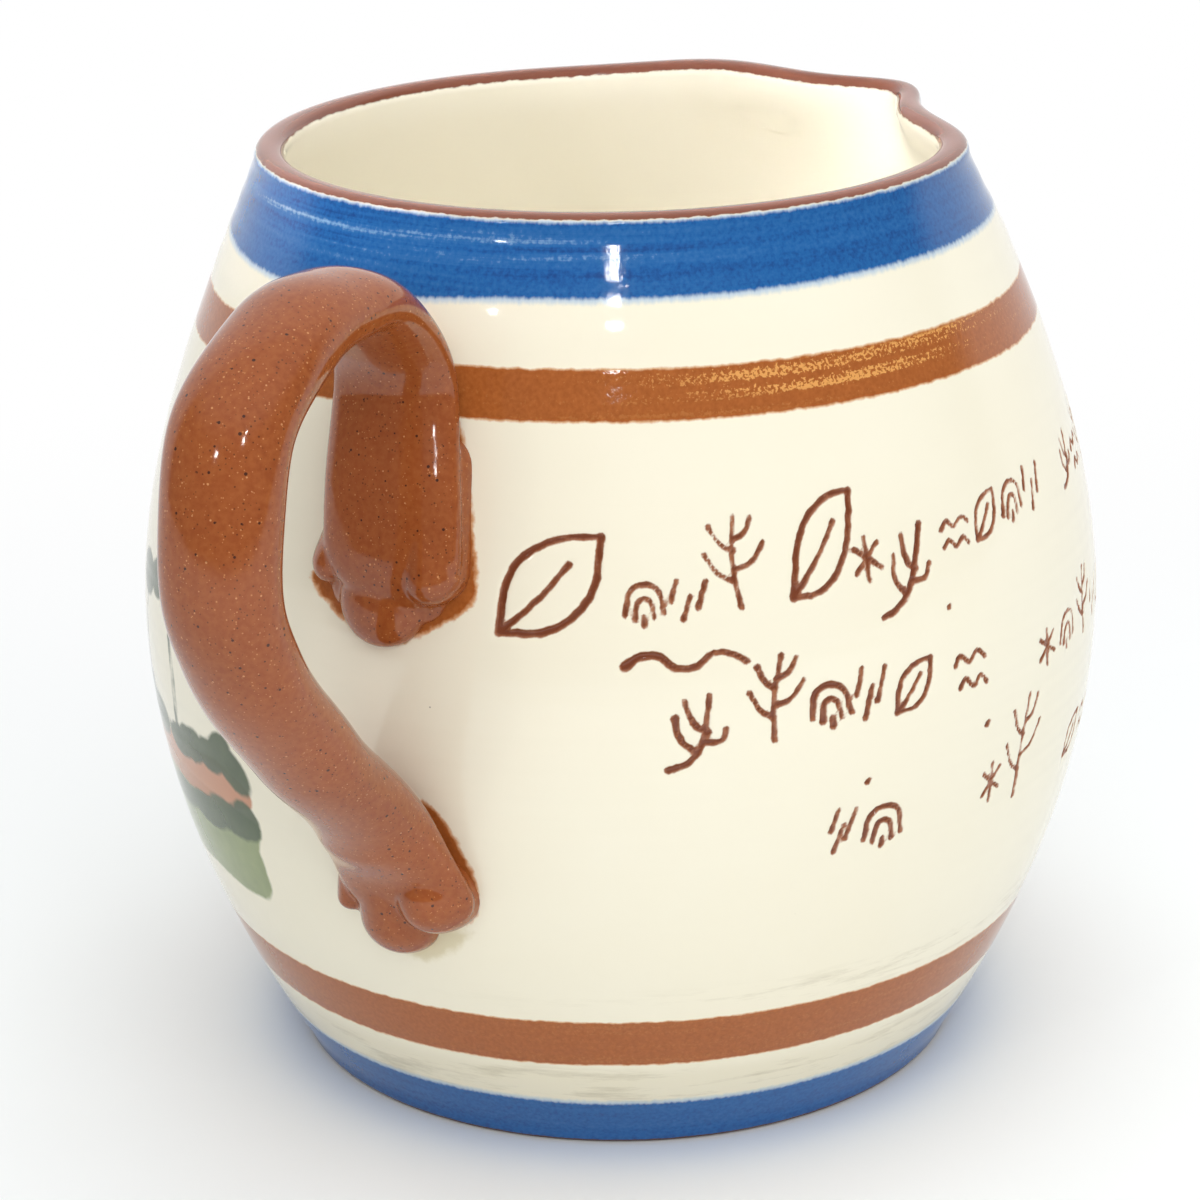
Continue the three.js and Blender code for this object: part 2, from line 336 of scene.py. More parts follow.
# Each mark is made of strokes on a unit square, and none of them is a letter.
MARKS = {
    "leaf": [
        [(0.0, 0.0), (0.0, 0.7), (0.5, 1.0), (1.0, 1.0)],
        [(1.0, 1.0), (1.0, 0.4), (0.6, 0.0), (0.0, 0.0)],
        [(0.0, 0.0), (0.35, 0.3), (0.68, 0.72)],
    ],
    "shell": [
        [(0.0, 0.25), (0.1, 1.0), (0.9, 1.0), (1.0, 0.25)],
        [(0.25, 0.15), (0.32, 0.66), (0.68, 0.66), (0.75, 0.15)],
        [(0.5, 0.0), (0.5, 0.22)],
    ],
    "fern": [
        [(0.5, 0.0), (0.42, 0.5), (0.56, 1.0)],
        [(0.46, 0.28), (0.2, 0.36), (0.0, 0.6)],
        [(0.46, 0.42), (0.78, 0.46), (1.0, 0.68)],
        [(0.48, 0.62), (0.26, 0.7), (0.12, 0.9)],
        [(0.5, 0.74), (0.72, 0.78), (0.84, 0.96)],
    ],
    "ripple": [
        [(0.0, 0.3), (0.12, 1.0), (0.3, 0.9), (0.4, 0.0), (0.6, 0.1), (0.7, 1.0), (0.88, 0.8), (1.0, 0.2)],
    ],
    "ripples": [
        [(0.0, 0.7), (0.2, 1.0), (0.45, 0.62), (0.75, 1.0), (1.0, 0.72)],
        [(0.05, 0.15), (0.28, 0.42), (0.5, 0.0), (0.75, 0.4), (0.95, 0.1)],
    ],
    "star": [
        [(0.1, 0.2), (0.9, 0.85)],
        [(0.08, 0.78), (0.94, 0.26)],
        [(0.5, 0.0), (0.48, 1.0)],
    ],
    "rain": [[(0.0, 0.5), (0.12, 1.0)], [(0.36, 0.0), (0.52, 0.62)], [(0.74, 0.3), (0.92, 0.95)]],
    "sprig": [
        [(0.0, 0.0), (0.3, 0.06), (0.6, 0.3), (0.86, 1.0)],
        [(0.5, 0.22), (0.24, 0.4), (0.26, 0.72)],
        [(0.72, 0.5), (0.5, 0.6), (0.46, 0.94)],
        [(0.64, 0.36), (0.92, 0.34), (1.0, 0.52)],
    ],
    "dot": [[(0.4, 0.4), (0.6, 0.6)]],
}
# Where the marks stand: name, turn about Z in degrees, height on the wall, width, height and half
# width of the stroke in mm, lean in degrees.
MARK_ROWS = (
    ("leaf", -162.8, 70.0, 9.4, 9.6, 0.4, 6),
    ("shell", -152.4, 68.1, 3.9, 4.0, 0.25, 0),
    ("rain", -147.4, 68.4, 3.8, 3.8, 0.27, 4),
    ("fern", -142.0, 71.8, 6.4, 9.0, 0.25, -4),
    ("leaf", -131.4, 72.4, 6.0, 9.6, 0.34, 10),
    ("star", -126.0, 70.2, 3.6, 4.4, 0.27, 0),
    ("sprig", -121.0, 68.2, 6.2, 8.4, 0.33, 4),
    ("ripples", -112.8, 70.5, 4.2, 3.4, 0.22, 6),
    ("leaf", -107.2, 71.2, 3.4, 4.4, 0.22, 8),
    ("shell", -101.6, 71.4, 3.8, 4.0, 0.24, 10),
    ("rain", -96.2, 71.8, 4.0, 4.4, 0.22, 6),
    ("sprig", -84.0, 71.6, 4.8, 5.2, 0.25, 0),
    ("ripples", -77.4, 70.8, 4.4, 3.6, 0.25, 8),
    ("fern", -71.6, 71.8, 4.8, 6.8, 0.25, 0),
    ("star", -66.0, 70.6, 3.8, 4.0, 0.25, 6),
    ("ripple", -148.0, 62.3, 12.2, 1.7, 0.44, 2),
    ("sprig", -147.4, 54.8, 6.4, 7.8, 0.34, -10),
    ("fern", -138.2, 57.6, 5.6, 8.8, 0.3, 4),
    ("shell", -131.9, 56.0, 4.2, 4.4, 0.34, -6),
    ("rain", -126.9, 56.6, 3.4, 5.4, 0.3, 6),
    ("leaf", -121.2, 56.2, 3.9, 5.0, 0.28, 6),
    ("dot", -115.4, 63.4, 1.0, 1.2, 0.24, 0),
    ("ripples", -112.6, 55.9, 4.4, 4.6, 0.28, -8),
    ("star", -97.6, 54.4, 3.8, 4.0, 0.22, 0),
    ("shell", -91.8, 54.6, 3.8, 4.0, 0.22, 6),
    ("fern", -85.4, 56.0, 5.0, 7.4, 0.24, 0),
    ("rain", -79.4, 54.6, 4.0, 4.0, 0.24, -4),
    ("leaf", -74.0, 54.8, 3.4, 4.6, 0.24, 6),
    ("rain", -130.2, 41.6, 2.6, 5.0, 0.28, 10),
    ("shell", -124.8, 41.0, 4.6, 4.8, 0.3, 0),
    ("dot", -127.2, 46.8, 1.0, 1.2, 0.24, 0),
    ("star", -108.2, 41.8, 3.2, 4.6, 0.22, 0),
    ("dot", -109.8, 49.2, 1.2, 1.2, 0.32, 0),
    ("fern", -102.4, 44.3, 6.4, 11.8, 0.22, 4),
    ("leaf", -86.4, 40.4, 3.6, 4.4, 0.24, 0),
    ("ripples", -80.0, 40.8, 4.4, 3.8, 0.24, 0),
)


def rounded(points):
    """A stroke's bends rounded: each pass cuts every corner at a quarter and three quarters."""
    line = np.array(points, float)
    for _ in range(3):
        cut = np.stack([0.75 * line[:-1] + 0.25 * line[1:], 0.25 * line[:-1] + 0.75 * line[1:]], 1)
        line = np.vstack([line[:1], cut.reshape(-1, 2), line[-1:]])
    return line


def distance_to_line(across, height, line, half_widths):
    """Distance from each point to a bent line, less the line's half width where it is nearest:
    the least over its straight bits of |p - a - t(b - a)| - w, with t held between 0 and 1."""
    a, b = line[:-1], line[1:]
    along = b - a
    square = np.maximum((along**2).sum(1), 1e-12)
    dx = across[:, None] - a[:, 0]
    dz = height[:, None] - a[:, 1]
    t = np.clip((dx * along[:, 0] + dz * along[:, 1]) / square, 0.0, 1.0)
    gap = np.hypot(dx - t * along[:, 0], dz - t * along[:, 1])
    width = half_widths[:-1] + t * (half_widths[1:] - half_widths[:-1])
    return (gap - width).min(1)


def scratch_field(across, height):
    """Signed distance to the scratched marks, below 0 inside a stroke. Each stroke swells and
    thins along its run, and wavers a little."""
    draw = np.random.default_rng(11)
    field = np.full(len(across), FAR)
    for name, turn, z, width, tall, half, lean in MARK_ROWS:
        middle = math.radians(turn) * CHART_RADIUS
        near = (np.abs(across - middle) < width) & (np.abs(height - z) < tall)
        for stroke in MARKS[name]:
            line = rounded(stroke) - 0.5
            line = line * (width, tall)
            line[:, 0] += np.tan(math.radians(lean)) * line[:, 1]
            line += (middle, z)
            line += draw.normal(0.0, 0.03, line.shape)
            share = np.linspace(0.0, 1.0, len(line))
            swell = 0.95 + 0.2 * np.sin(share * np.pi * draw.uniform(0.7, 1.6) + draw.uniform(0, 2))
            swell += 0.3 * bell(share - draw.integers(0, 2), 0.06)
            widths = STROKE_SHARE * half * swell
            gap = distance_to_line(across[near], height[near], line, widths)
            field[near] = np.minimum(field[near], gap)
    return field


# The painting and the smears


def blob_field(across, height, blobs):
    """Signed distance to overlapping brush dabs, each an ellipse given by its turn about Z in
    degrees, its height, its half width and half height in mm, and its tilt in degrees."""
    field = np.full(len(across), FAR)
    for turn, z, half_width, half_height, tilt in blobs:
        dx = across - math.radians(turn) * CHART_RADIUS
        dz = height - z
        c, s = math.cos(math.radians(tilt)), math.sin(math.radians(tilt))
        u = (c * dx + s * dz) / half_width
        v = (c * dz - s * dx) / half_height
        field = np.minimum(field, (np.hypot(u, v) - 1.0) * min(half_width, half_height))
    return field


def shape_field(across, height, corners):
    """Signed distance to a closed outline given by (turn in degrees, height in mm): the distance
    to its edge, negative where a ray to the right crosses the outline an odd number of times."""
    line = np.array([(math.radians(t) * CHART_RADIUS, z) for t, z in corners + corners[:1]])
    edge = distance_to_line(across, height, line, np.zeros(len(line)))
    inside = np.zeros(len(across), bool)
    for (x0, z0), (x1, z1) in zip(line[:-1], line[1:]):
        spans = (z0 > height) != (z1 > height)
        crossing = x0 + (height - z0) * (x1 - x0) / (z1 - z0 if z1 != z0 else 1e-9)
        inside ^= spans & (across < crossing)
    return np.where(inside, -edge, edge)


# The painted country scene starts beside the handle and runs round the far side. Bushes and
# crowns are dabs: turn in degrees, height, half width and half height in mm, tilt in degrees.
NEAR_BUSH = (
    (153.9, 43.3, 3.4, 2.2, -38),
    (151.4, 45.2, 2.5, 1.9, 30),
    (148.8, 43.6, 3.4, 2.0, 0),
    (144.6, 43.4, 2.6, 2.0, 40),
    (142.2, 43.6, 2.0, 1.7, 30),
    (139.8, 42.6, 3.4, 1.9, 0),
)
FAR_BUSHES = (
    (131.0, 43.2, 4.6, 2.4, 0),
    (127.0, 45.2, 2.6, 2.2, 20),
    (98.0, 44.6, 3.2, 3.0, 0),
    (94.0, 43.2, 4.2, 2.2, 0),
    (62.0, 43.4, 3.6, 2.6, 0),
    (57.5, 42.6, 3.2, 2.2, -20),
)
LOW_BUSHES = (
    (154.9, 37.5, 2.6, 2.3, -50),
    (151.0, 36.7, 4.4, 2.0, -12),
    (144.6, 35.7, 5.0, 2.0, 0),
    (136.0, 35.2, 5.0, 1.8, 4),
    (108.0, 33.0, 5.6, 1.8, 0),
    (84.0, 35.0, 6.0, 1.9, 6),
)
PATH_OUTLINE = [
    (156.7, 39.4),
    (156.9, 40.8),
    (155.4, 42.2),
    (150.0, 43.6),
    (140.0, 42.6),
    (126.0, 42.8),
    (104.0, 42.0),
    (84.0, 42.8),
    (52.0, 41.6),
    (50.0, 40.0),
    (70.0, 38.6),
    (96.0, 39.4),
    (120.0, 38.0),
    (140.0, 37.0),
    (149.0, 37.4),
]
GRASS_OUTLINE = [
    (157.6, 37.6),
    (157.4, 36.4),
    (156.0, 34.2),
    (156.4, 31.4),
    (156.2, 28.8),
    (154.6, 27.2),
    (149.0, 26.9),
    (141.0, 27.6),
    (124.0, 26.6),
    (104.0, 27.8),
    (82.0, 26.8),
    (58.0, 28.0),
    (47.0, 31.0),
    (46.0, 36.0),
    (52.0, 40.8),
    (90.0, 40.2),
    (120.0, 40.0),
    (150.0, 38.8),
]
# Tree stems from the ground up, and outlines, as (turn in degrees, height in mm)
STEMS = (
    ((139.4, 41.6), (140.4, 50.4), (139.4, 54.7), (139.0, 60.0)),
    ((128.0, 44.0), (127.2, 51.0), (128.6, 57.0)),
    ((96.6, 45.0), (97.6, 54.0), (96.0, 62.0)),
    ((60.0, 44.0), (59.2, 52.0), (60.4, 57.0)),
)
CROWNS = (
    (138.0, 62.6, 4.2, 3.4, 0),
    (134.6, 60.0, 3.0, 2.4, 20),
    (128.6, 59.0, 3.4, 2.6, 0),
    (96.0, 65.0, 5.0, 4.0, 0),
    (91.0, 62.0, 3.6, 2.8, 10),
    (100.6, 62.0, 3.4, 2.6, -10),
    (60.2, 59.4, 4.2, 3.2, 0),
)
# Thin red-brown clay rubbed on the wall round the pressed ends, as outlines
UPPER_SMEAR = [
    (-174.9, 85.4),
    (-173.5, 81.8),
    (-172.7, 78.0),
    (-171.6, 72.5),
    (-171.2, 69.2),
    (-171.9, 67.5),
    (-173.5, 66.3),
    (-175.4, 65.3),
    (-179.2, 63.5),
    (-181.8, 62.8),
    (-184.2, 63.1),
    (-187.0, 64.6),
    (-190.0, 66.4),
    (-192.2, 67.8),
    (-190.0, 72.0),
    (-178.0, 85.4),
]
LOWER_SMEAR = [
    (-178.6, 46.8),
    (-176.2, 45.4),
    (-174.8, 43.8),
    (-173.6, 41.2),
    (-172.5, 38.5),
    (-172.1, 35.8),
    (-172.6, 32.8),
    (-174.2, 31.2),
    (-179.0, 34.0),
    (-181.0, 42.0),
]
OLIVE_SMEAR = [
    (-183.2, 27.0),
    (-181.6, 26.0),
    (-179.4, 26.1),
    (-176.8, 27.5),
    (-174.4, 29.5),
    (-173.4, 31.2),
    (-180.0, 30.6),
]


# Meshes


def surface(name, points, quads, triangles=None, fields=None):
    """A mesh from points in millimetres and its faces, smooth, with one float per point for each
    field."""
    mesh = bpy.data.meshes.new(name)
    faces = quads.tolist() + ([] if triangles is None else triangles.tolist())
    mesh.from_pydata((points * MM).tolist(), [], faces)
    mesh.polygons.foreach_set("use_smooth", np.ones(len(faces), bool))
    for field, values in (fields or {}).items():
        layer = mesh.attributes.new(field, "FLOAT", "POINT")
        layer.data.foreach_set("value", np.ascontiguousarray(values, np.float32))
    mesh.update()
    piece = bpy.data.objects.new(name, mesh)
    bpy.context.scene.collection.objects.link(piece)
    return piece


def ring_faces(rows, columns):
    """Quads between the rows of a grid that closes on itself, and a fan onto a point before its
    first row and one after its last, numbered rows x columns and that plus one."""
    row, column = np.meshgrid(np.arange(rows - 1), np.arange(columns), indexing="ij")
    after = (column + 1) % columns
    low, high = row * columns, (row + 1) * columns
    quads = np.stack([low + column, low + after, high + after, high + column], -1).reshape(-1, 4)
    side = np.arange(columns)
    beside = (side + 1) % columns
    first = np.stack([np.full(columns, rows * columns), beside, side], 1)
    last_row = (rows - 1) * columns
    last = np.stack([np.full(columns, rows * columns + 1), last_row + side, last_row + beside], 1)
    return quads, np.vstack([first, last])


def edge_wander(angle, seed, size):
    """How a hand-held brush wanders round a turning pot: five sines of the angle, of random phase,
    each smaller than the last."""
    draw = np.random.default_rng(seed)
    wander = np.zeros_like(angle)
    for count in (1, 2, 3, 7, 13):
        wander += draw.uniform(0.5, 1.0) / count**0.6 * np.sin(count * angle + draw.uniform(0, 6.28))
    return size * wander


def band_field(height, low, high):
    """Signed distance to a band between two heights, below 0 inside it."""
    return np.maximum(low - height, height - high)


def decoration(angle, height, inward):
    """Signed distances in millimetres to each decorated area, below 0 inside, by area, and a few
    shares between 0 and 1: worn, streaked, grimy and inside."""
    outside = inward < 0
    across = angle * CHART_RADIUS
    wrapped = np.where(angle > 0, angle - 2 * np.pi, angle) * CHART_RADIUS
    front = outside & (angle < FRONT_END) & (height > FRONT_HEIGHTS[0]) & (height < FRONT_HEIGHTS[1])
    far_side = outside & (angle > PAINTED_END) & (height > PAINTED_HEIGHTS[0]) & (height < PAINTED_HEIGHTS[1])
    by_handle = outside & (np.abs(turn_between(angle, math.pi)) < SMEARED_HALF_ANGLE)
    areas = ("scratch", "bush", "low_bush", "path", "grass", "stem", "smear", "olive")
    fields = {name: np.full(len(angle), FAR) for name in areas}
    fields["scratch"][front] = scratch_field(across[front], height[front])
    at = across[far_side], height[far_side]
    fields["bush"][far_side] = blob_field(*at, NEAR_BUSH + FAR_BUSHES + CROWNS)
    fields["low_bush"][far_side] = blob_field(*at, LOW_BUSHES)
    fields["path"][far_side] = shape_field(*at, PATH_OUTLINE)
    fields["grass"][far_side] = shape_field(*at, GRASS_OUTLINE)
    for stem in STEMS:
        line = rounded([(math.radians(t) * CHART_RADIUS, z) for t, z in stem])
        gap = distance_to_line(*at, line, np.linspace(0.62, 0.4, len(line)))
        fields["stem"][far_side] = np.minimum(fields["stem"][far_side], gap)
    at = wrapped[by_handle], height[by_handle]
    fields["smear"][by_handle] = np.minimum(shape_field(*at, UPPER_SMEAR), shape_field(*at, LOWER_SMEAR))
    fields["olive"][by_handle] = shape_field(*at, OLIVE_SMEAR)
    sag = BLUE_SAG * smooth(1.0 - np.abs(turn_between(angle, SAG_TURN)) / SAG_HALF_ANGLE)
    foot_blue = band_field(height + edge_wander(angle, 3, 0.16), -2.0, FOOT_BLUE_TOP)
    rim_blue = band_field(height + edge_wander(angle, 5, 0.14) + sag, RIM_BLUE, 120.0)
    rim_blue = np.maximum(rim_blue, inward + BLUE_STOP)
    fields["blue"] = np.where(outside, np.minimum(foot_blue, rim_blue), FAR)
    lower = band_field(height + edge_wander(angle, 7, 0.1), *LOWER_BROWN)
    upper = band_field(height + edge_wander(angle, 9, 0.08), *UPPER_BROWN)
    fields["brown"] = np.where(outside, np.minimum(lower, upper), FAR)
    fields["rim"] = np.abs(inward - 0.25) - RIM_HALF_WIDTH
    lift = height - BARE_FOOT
    bare = np.minimum(lift + edge_wander(angle, 13, 0.08), 8.0 * lift)
    fields["bare"] = np.where(outside, bare, FAR)
    fields["worn"] = bell(turn_between(angle, WORN_TURN), 0.3) * smooth((height - WORN_HEIGHT) / 0.9)
    fields["streaked"] = bell(turn_between(angle, STREAK_TURN), 0.5) * bell(height - STREAK_HEIGHT, 1.6)
    fields["grimy"] = bell(turn_between(angle, GRIME_TURN), 0.5) * bell(height - GRIME_HEIGHT, 1.0)
    fields["inside"] = smooth(inward / 2.0)
    return fields


def thrown_body():
    """The body: its section turned about Z, pushed out of the round by hand, with faint throwing
    lines on the outside and the scratched marks sunk a quarter of a millimetre."""
    radius, height, inward = body_section()
    angle = column_angles()
    rows, columns = len(radius), len(angle)
    a = np.broadcast_to(angle, (rows, columns))
    z = np.broadcast_to(height[:, None], (rows, columns))
    lined = smooth((z - 8.0) / 8.0) * smooth((-2.0 - inward[:, None]) / 4.0)
    r = radius[:, None] + hand_push(a, z) + throwing_lines(a, z) * lined
    fields = decoration(a.ravel(), z.ravel(), np.repeat(inward, columns))
    r = r - MARK_DEPTH * smooth((0.18 - fields["scratch"]) / 0.45).reshape(rows, columns)
    points = np.stack([r * np.cos(a), r * np.sin(a), z + wave_lift(a, z)], -1).reshape(-1, 3)
    poles = np.array([[0.0, 0.0, height[0]], [0.0, 0.0, height[-1]]])
    quads, fans = ring_faces(rows, columns)
    fields = {name: np.concatenate([values, [FAR, FAR]]) for name, values in fields.items()}
    fields["bare"][-2] = -FAR
    fields["inside"][-2:] = (0.0, 1.0)
    return surface("jug_body", np.vstack([points, poles]), quads, fans, fields)


def on_wall(y, z, out):
    """The point beside the handle at a place on Y and a height, this far out from the wall."""
    reach = barrel_radius(np.asarray(z, float)) + out
    return np.stack([-np.sqrt(reach**2 - np.asarray(y, float) ** 2), y + 0 * reach, z + 0 * reach], -1)


def handle_path(steps):
    """The strap's middle line at even lengths: a centripetal Catmull-Rom curve through its points.
    Each span blends the lines through its neighbours by their knots, the square roots of the
    gaps between the points."""
    lift = STRAP_LIFT
    upper = [
        on_wall(0.0, UPPER_END_HEIGHT, 0.6 * lift),
        on_wall(HANDLE_LEAN / 2, (UPPER_END_HEIGHT + LIFT_OFF_HEIGHT) / 2, lift),
        on_wall(HANDLE_LEAN, LIFT_OFF_HEIGHT, 1.33 * lift),
    ]
    start = float(barrel_radius(np.array(LIFT_OFF_HEIGHT))) + lift
    rise = HANDLE_CROWN - LANDING_HEIGHT
    loop = [
        np.array([-start - (HANDLE_REACH - start) * out, HANDLE_OFFSET, LANDING_HEIGHT + rise * up])
        for out, up in HANDLE_LOOP
    ]
    lower = [
        on_wall(0.0, LANDING_HEIGHT, 0.75 * lift),
        on_wall(-HANDLE_OFFSET, LOWER_END_HEIGHT, 0.25 * lift),
    ]
    knots = np.array(upper + loop + lower)
    ends = np.vstack([2 * knots[0] - knots[1], knots, 2 * knots[-1] - knots[-2]])
    spans = []
    for p0, p1, p2, p3 in zip(ends[:-3], ends[1:-2], ends[2:-1], ends[3:]):
        t1 = np.linalg.norm(p1 - p0) ** 0.5
        t2 = t1 + np.linalg.norm(p2 - p1) ** 0.5
        t3 = t2 + np.linalg.norm(p3 - p2) ** 0.5
        t = np.linspace(t1, t2, 41)[:-1, None]
        a1 = (t1 - t) / t1 * p0 + t / t1 * p1
        a2 = (t2 - t) / (t2 - t1) * p1 + (t - t1) / (t2 - t1) * p2
        a3 = (t3 - t) / (t3 - t2) * p2 + (t - t2) / (t3 - t2) * p3
        b1 = (t2 - t) / t2 * a1 + t / t2 * a2
        b2 = (t3 - t) / (t3 - t1) * a2 + (t - t1) / (t3 - t1) * a3
        spans.append((t2 - t) / (t2 - t1) * b1 + (t - t1) / (t2 - t1) * b2)
    line = np.vstack(spans + [knots[-1:]])
    length = np.concatenate([[0.0], np.cumsum(np.linalg.norm(np.diff(line, axis=0), axis=1))])
    even = np.linspace(0.0, length[-1], steps)
    return np.stack([np.interp(even, length, line[:, k]) for k in range(3)], 1), length[-1]


def strap_rings(steps, sides):
    """The strap: an oval carried along its middle line, flatter and wider where it is pressed, with
    rounded ends and the slight unevenness of a pulled handle."""
    line, length = handle_path(steps + 1)
    tangent = np.gradient(line, axis=0)
    tangent /= np.linalg.norm(tangent, axis=1)[:, None]
    across = np.array([0.0, 1.0, 0.0])
    away = np.cross(tangent, across)
    away /= np.linalg.norm(away, axis=1)[:, None]
    share = np.linspace(0.0, 1.0, steps + 1)
    to_end = length * np.minimum(share, 1.0 - share)
    upper = share < 0.5
    spread = smooth(1.3 - to_end / np.where(upper, UPPER_PRESSED_RUN, LOWER_PRESSED_RUN))
    thin = smooth(2.0 - 2.0 * to_end / np.where(upper, UPPER_THINNING, LOWER_THINNING))
    size = np.sqrt(1.0 - np.clip(1.0 - to_end / END_ROUNDING, 0.0, 1.0) ** 2)
    half_width = size * (STRAP_WIDTH + (PRESSED_WIDTH - STRAP_WIDTH) * spread) / 2
    half_thick = size * (STRAP_THICKNESS + (PRESSED_THICKNESS - STRAP_THICKNESS) * thin) / 2
    turn = np.linspace(0.0, 2 * np.pi, sides, endpoint=False)
    uneven = 1.0 + 0.012 * np.sin(share[:, None] * 31 + 2 * turn) + 0.01 * np.sin(share[:, None] * 57 - turn)
    rings = (
        line[:, None]
        + across * (half_width[:, None] * uneven * np.cos(turn))[..., None]
        + away[:, None] * (half_thick[:, None] * uneven * np.sin(turn))[..., None]
    )
    return rings[1:-1], line[0], line[-1]


def lobe_rings(lobe, end_height, steps=34, sides=32):
    """A lobe pressed on the wall: half an oval across, rounded off at its root and its tip."""
    root, tip, half_width, height = (np.array(part) * PRESSED_WIDTH for part in lobe)
    root, tip = root + (0.0, end_height), tip + (0.0, end_height)
    run = np.linalg.norm(tip - root)
    way = (tip - root) / run
    side = np.array([-way[1], way[0]])
    share = (1.0 - np.cos(np.pi * np.arange(1, steps) / steps)) / 2
    size = np.sqrt(1.0 - np.clip(1.0 - run * np.minimum(share, 1.0 - share) / half_width, 0.0, 1.0) ** 2)
    turn = -np.linspace(0.0, 2 * np.pi, sides, endpoint=False)
    middle = root + (tip - root) * share[:, None]
    place = middle[:, None] + side * (half_width * size[:, None] * np.cos(turn))[..., None]
    rise = np.where(np.sin(turn) > 0, height * size[:, None], LOBE_DEPTH) * np.sin(turn)
    return on_wall(place[..., 0], place[..., 1], rise), on_wall(*root, 0.0), on_wall(*tip, 0.0)


def pulled_handle():
    """The handle: the strap and its lobes fused into one skin, then softened as wet clay is."""
    points, quads, fans, count = [], [], [], 0
    parts = [strap_rings(STRAP_STEPS, STRAP_SIDES)]
    parts += [lobe_rings(lobe, UPPER_END_HEIGHT) for lobe in UPPER_LOBES]
    parts += [lobe_rings(lobe, LOWER_END_HEIGHT) for lobe in LOWER_LOBES]
    for rings, first, last in parts:
        ring_quads, ring_fans = ring_faces(rings.shape[0], rings.shape[1])
        points += [rings.reshape(-1, 3), [first], [last]]
        quads.append(ring_quads + count)
        fans.append(ring_fans + count)
        count += rings.shape[0] * rings.shape[1] + 2
    rough = surface("handle_rough", np.vstack(points), np.vstack(quads), np.vstack(fans))
    fuse = rough.modifiers.new("fuse", "REMESH")
    fuse.mode = "VOXEL"
    fuse.voxel_size = SKIN_VOXEL * MM
    soften = rough.modifiers.new("soften", "SMOOTH")
    soften.factor = 0.5
    soften.iterations = 3
    bpy.context.view_layer.update()
    mesh = bpy.data.meshes.new_from_object(rough.evaluated_get(bpy.context.evaluated_depsgraph_get()))
    mesh.name = "jug_handle"
    mesh.polygons.foreach_set("use_smooth", np.ones(len(mesh.polygons), bool))
    bpy.data.objects.remove(rough)
    piece = bpy.data.objects.new("jug_handle", mesh)
    bpy.context.scene.collection.objects.link(piece)
    return piece


# Finishes


def paint(hex_colour):
    """An sRGB hex colour turned linear."""
    parts = [int(hex_colour[i : i + 2], 16) / 255 for i in (1, 3, 5)]
    return tuple(p / 12.92 if p <= 0.04045 else ((p + 0.055) / 1.055) ** 2.4 for p in parts) + (1.0,)


def add(tree, kind, inputs=None, **settings):
    """Adds a node with its settings. Each input is a plain value, or the socket that feeds it. By
    number, a colour mix has its share at 0 and its colours at 6 and 7, and a range maps the value
    at 0 from between 1 and 2 to between 3 and 4."""
    node = tree.nodes.new(kind)
    for key, value in settings.items():
        setattr(node, key, value)
    for key, value in (inputs or {}).items():
        if isinstance(value, bpy.types.NodeSocket):
            tree.links.new(value, node.inputs[key])
        else:
            node.inputs[key].default_value = value
    return node


def empty_material(name):
    """A new material and its tree, with no nodes."""
    material = bpy.data.materials.new(name)
    material.use_nodes = True
    material.node_tree.nodes.clear()
    return material, material.node_tree


def laid_over(tree, ground, layers):
    """Lays each colour over the ground where its distance is below its edge, with an edge this
    soft, all in millimetres."""
    for distance, edge, softness, colour, strength in layers:
        span = {0: distance, 1: edge + softness, 2: edge - softness, 3: 0.0, 4: strength}
        cover = add(tree, "ShaderNodeMapRange", span, interpolation_type="SMOOTHSTEP").outputs[0]
        ground = add(tree, "ShaderNodeMix", {0: cover, 6: ground, 7: colour}, data_type="RGBA").outputs[2]
    return ground


def ragged_edges(tree, place, runs, fields):
    """Each area's distance, moved by noise so that its edge is ragged. Brushed and wiped edges
    wander over 1 mm; the blue's edge follows the runs of the glaze."""
    reaches = {"scratch": 0.3, "brown": 0.5, "rim": 0.5, "smear": 1.1, "bare": 0.5, "olive": 1.5}
    reaches.update({"bush": 0.3, "low_bush": 0.3, "grass": 0.4, "path": 0.3, "stem": 0.3})
    rag = add(tree, "ShaderNodeTexNoise", {0: place, "Scale": 900.0, "Detail": 3.0}).outputs[0]
    rag = add(tree, "ShaderNodeMath", {0: rag, 1: -0.5}, operation="ADD").outputs[0]
    off_runs = add(tree, "ShaderNodeMath", {0: runs, 1: -0.5}, operation="ADD").outputs[0]
    edges = {name: {0: rag, 1: reach, 2: fields[name]} for name, reach in reaches.items()}
    edges["blue"] = {0: off_runs, 1: 0.5, 2: fields["blue"]}
    return {
        name: add(tree, "ShaderNodeMath", moved, operation="MULTIPLY_ADD").outputs[0]
        for name, moved in edges.items()
    }


